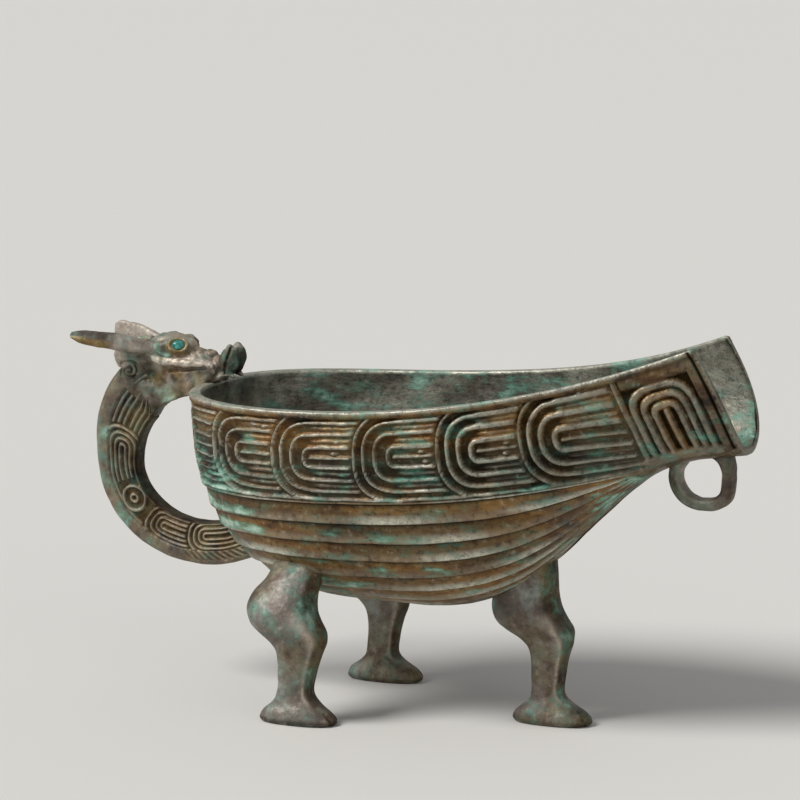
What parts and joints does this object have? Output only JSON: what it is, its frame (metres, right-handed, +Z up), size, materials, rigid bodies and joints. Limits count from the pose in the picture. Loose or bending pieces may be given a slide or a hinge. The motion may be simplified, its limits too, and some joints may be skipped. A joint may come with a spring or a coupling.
{
  "type": "pouring vessel",
  "caption": "Low bronze pouring vessel on animal legs, with a rising open channel spout, fluted belly, scale ornament band, dragon-head ring handle and a loop under the spout.",
  "frame": {"origin": "on the ground in the middle of the overall length and width", "axes": "+X along the vessel to the spout, +Y to the vessel's left, +Z up"},
  "size_m": [0.2581, 0.102, 0.1421],
  "materials": {
    "bronze_bowl": "aged cast bronze, brown with ochre and green patina",
    "bronze_fittings": "aged cast bronze, grey-brown with turquoise patina",
    "turquoise_inlay": "polished blue-green bead"
  },
  "bodies": {
    "root": {"bowl": "bronze_bowl", "dragon_head": "bronze_fittings", "handle_ring": "bronze_fittings", "left_horn": "bronze_fittings", "right_horn": "bronze_fittings", "left_eye": "turquoise_inlay", "right_eye": "turquoise_inlay", "rear_left_leg": "bronze_fittings", "rear_right_leg": "bronze_fittings", "front_leg": "bronze_fittings", "spout_loop": "bronze_fittings"}
  },
  "joints": []
}
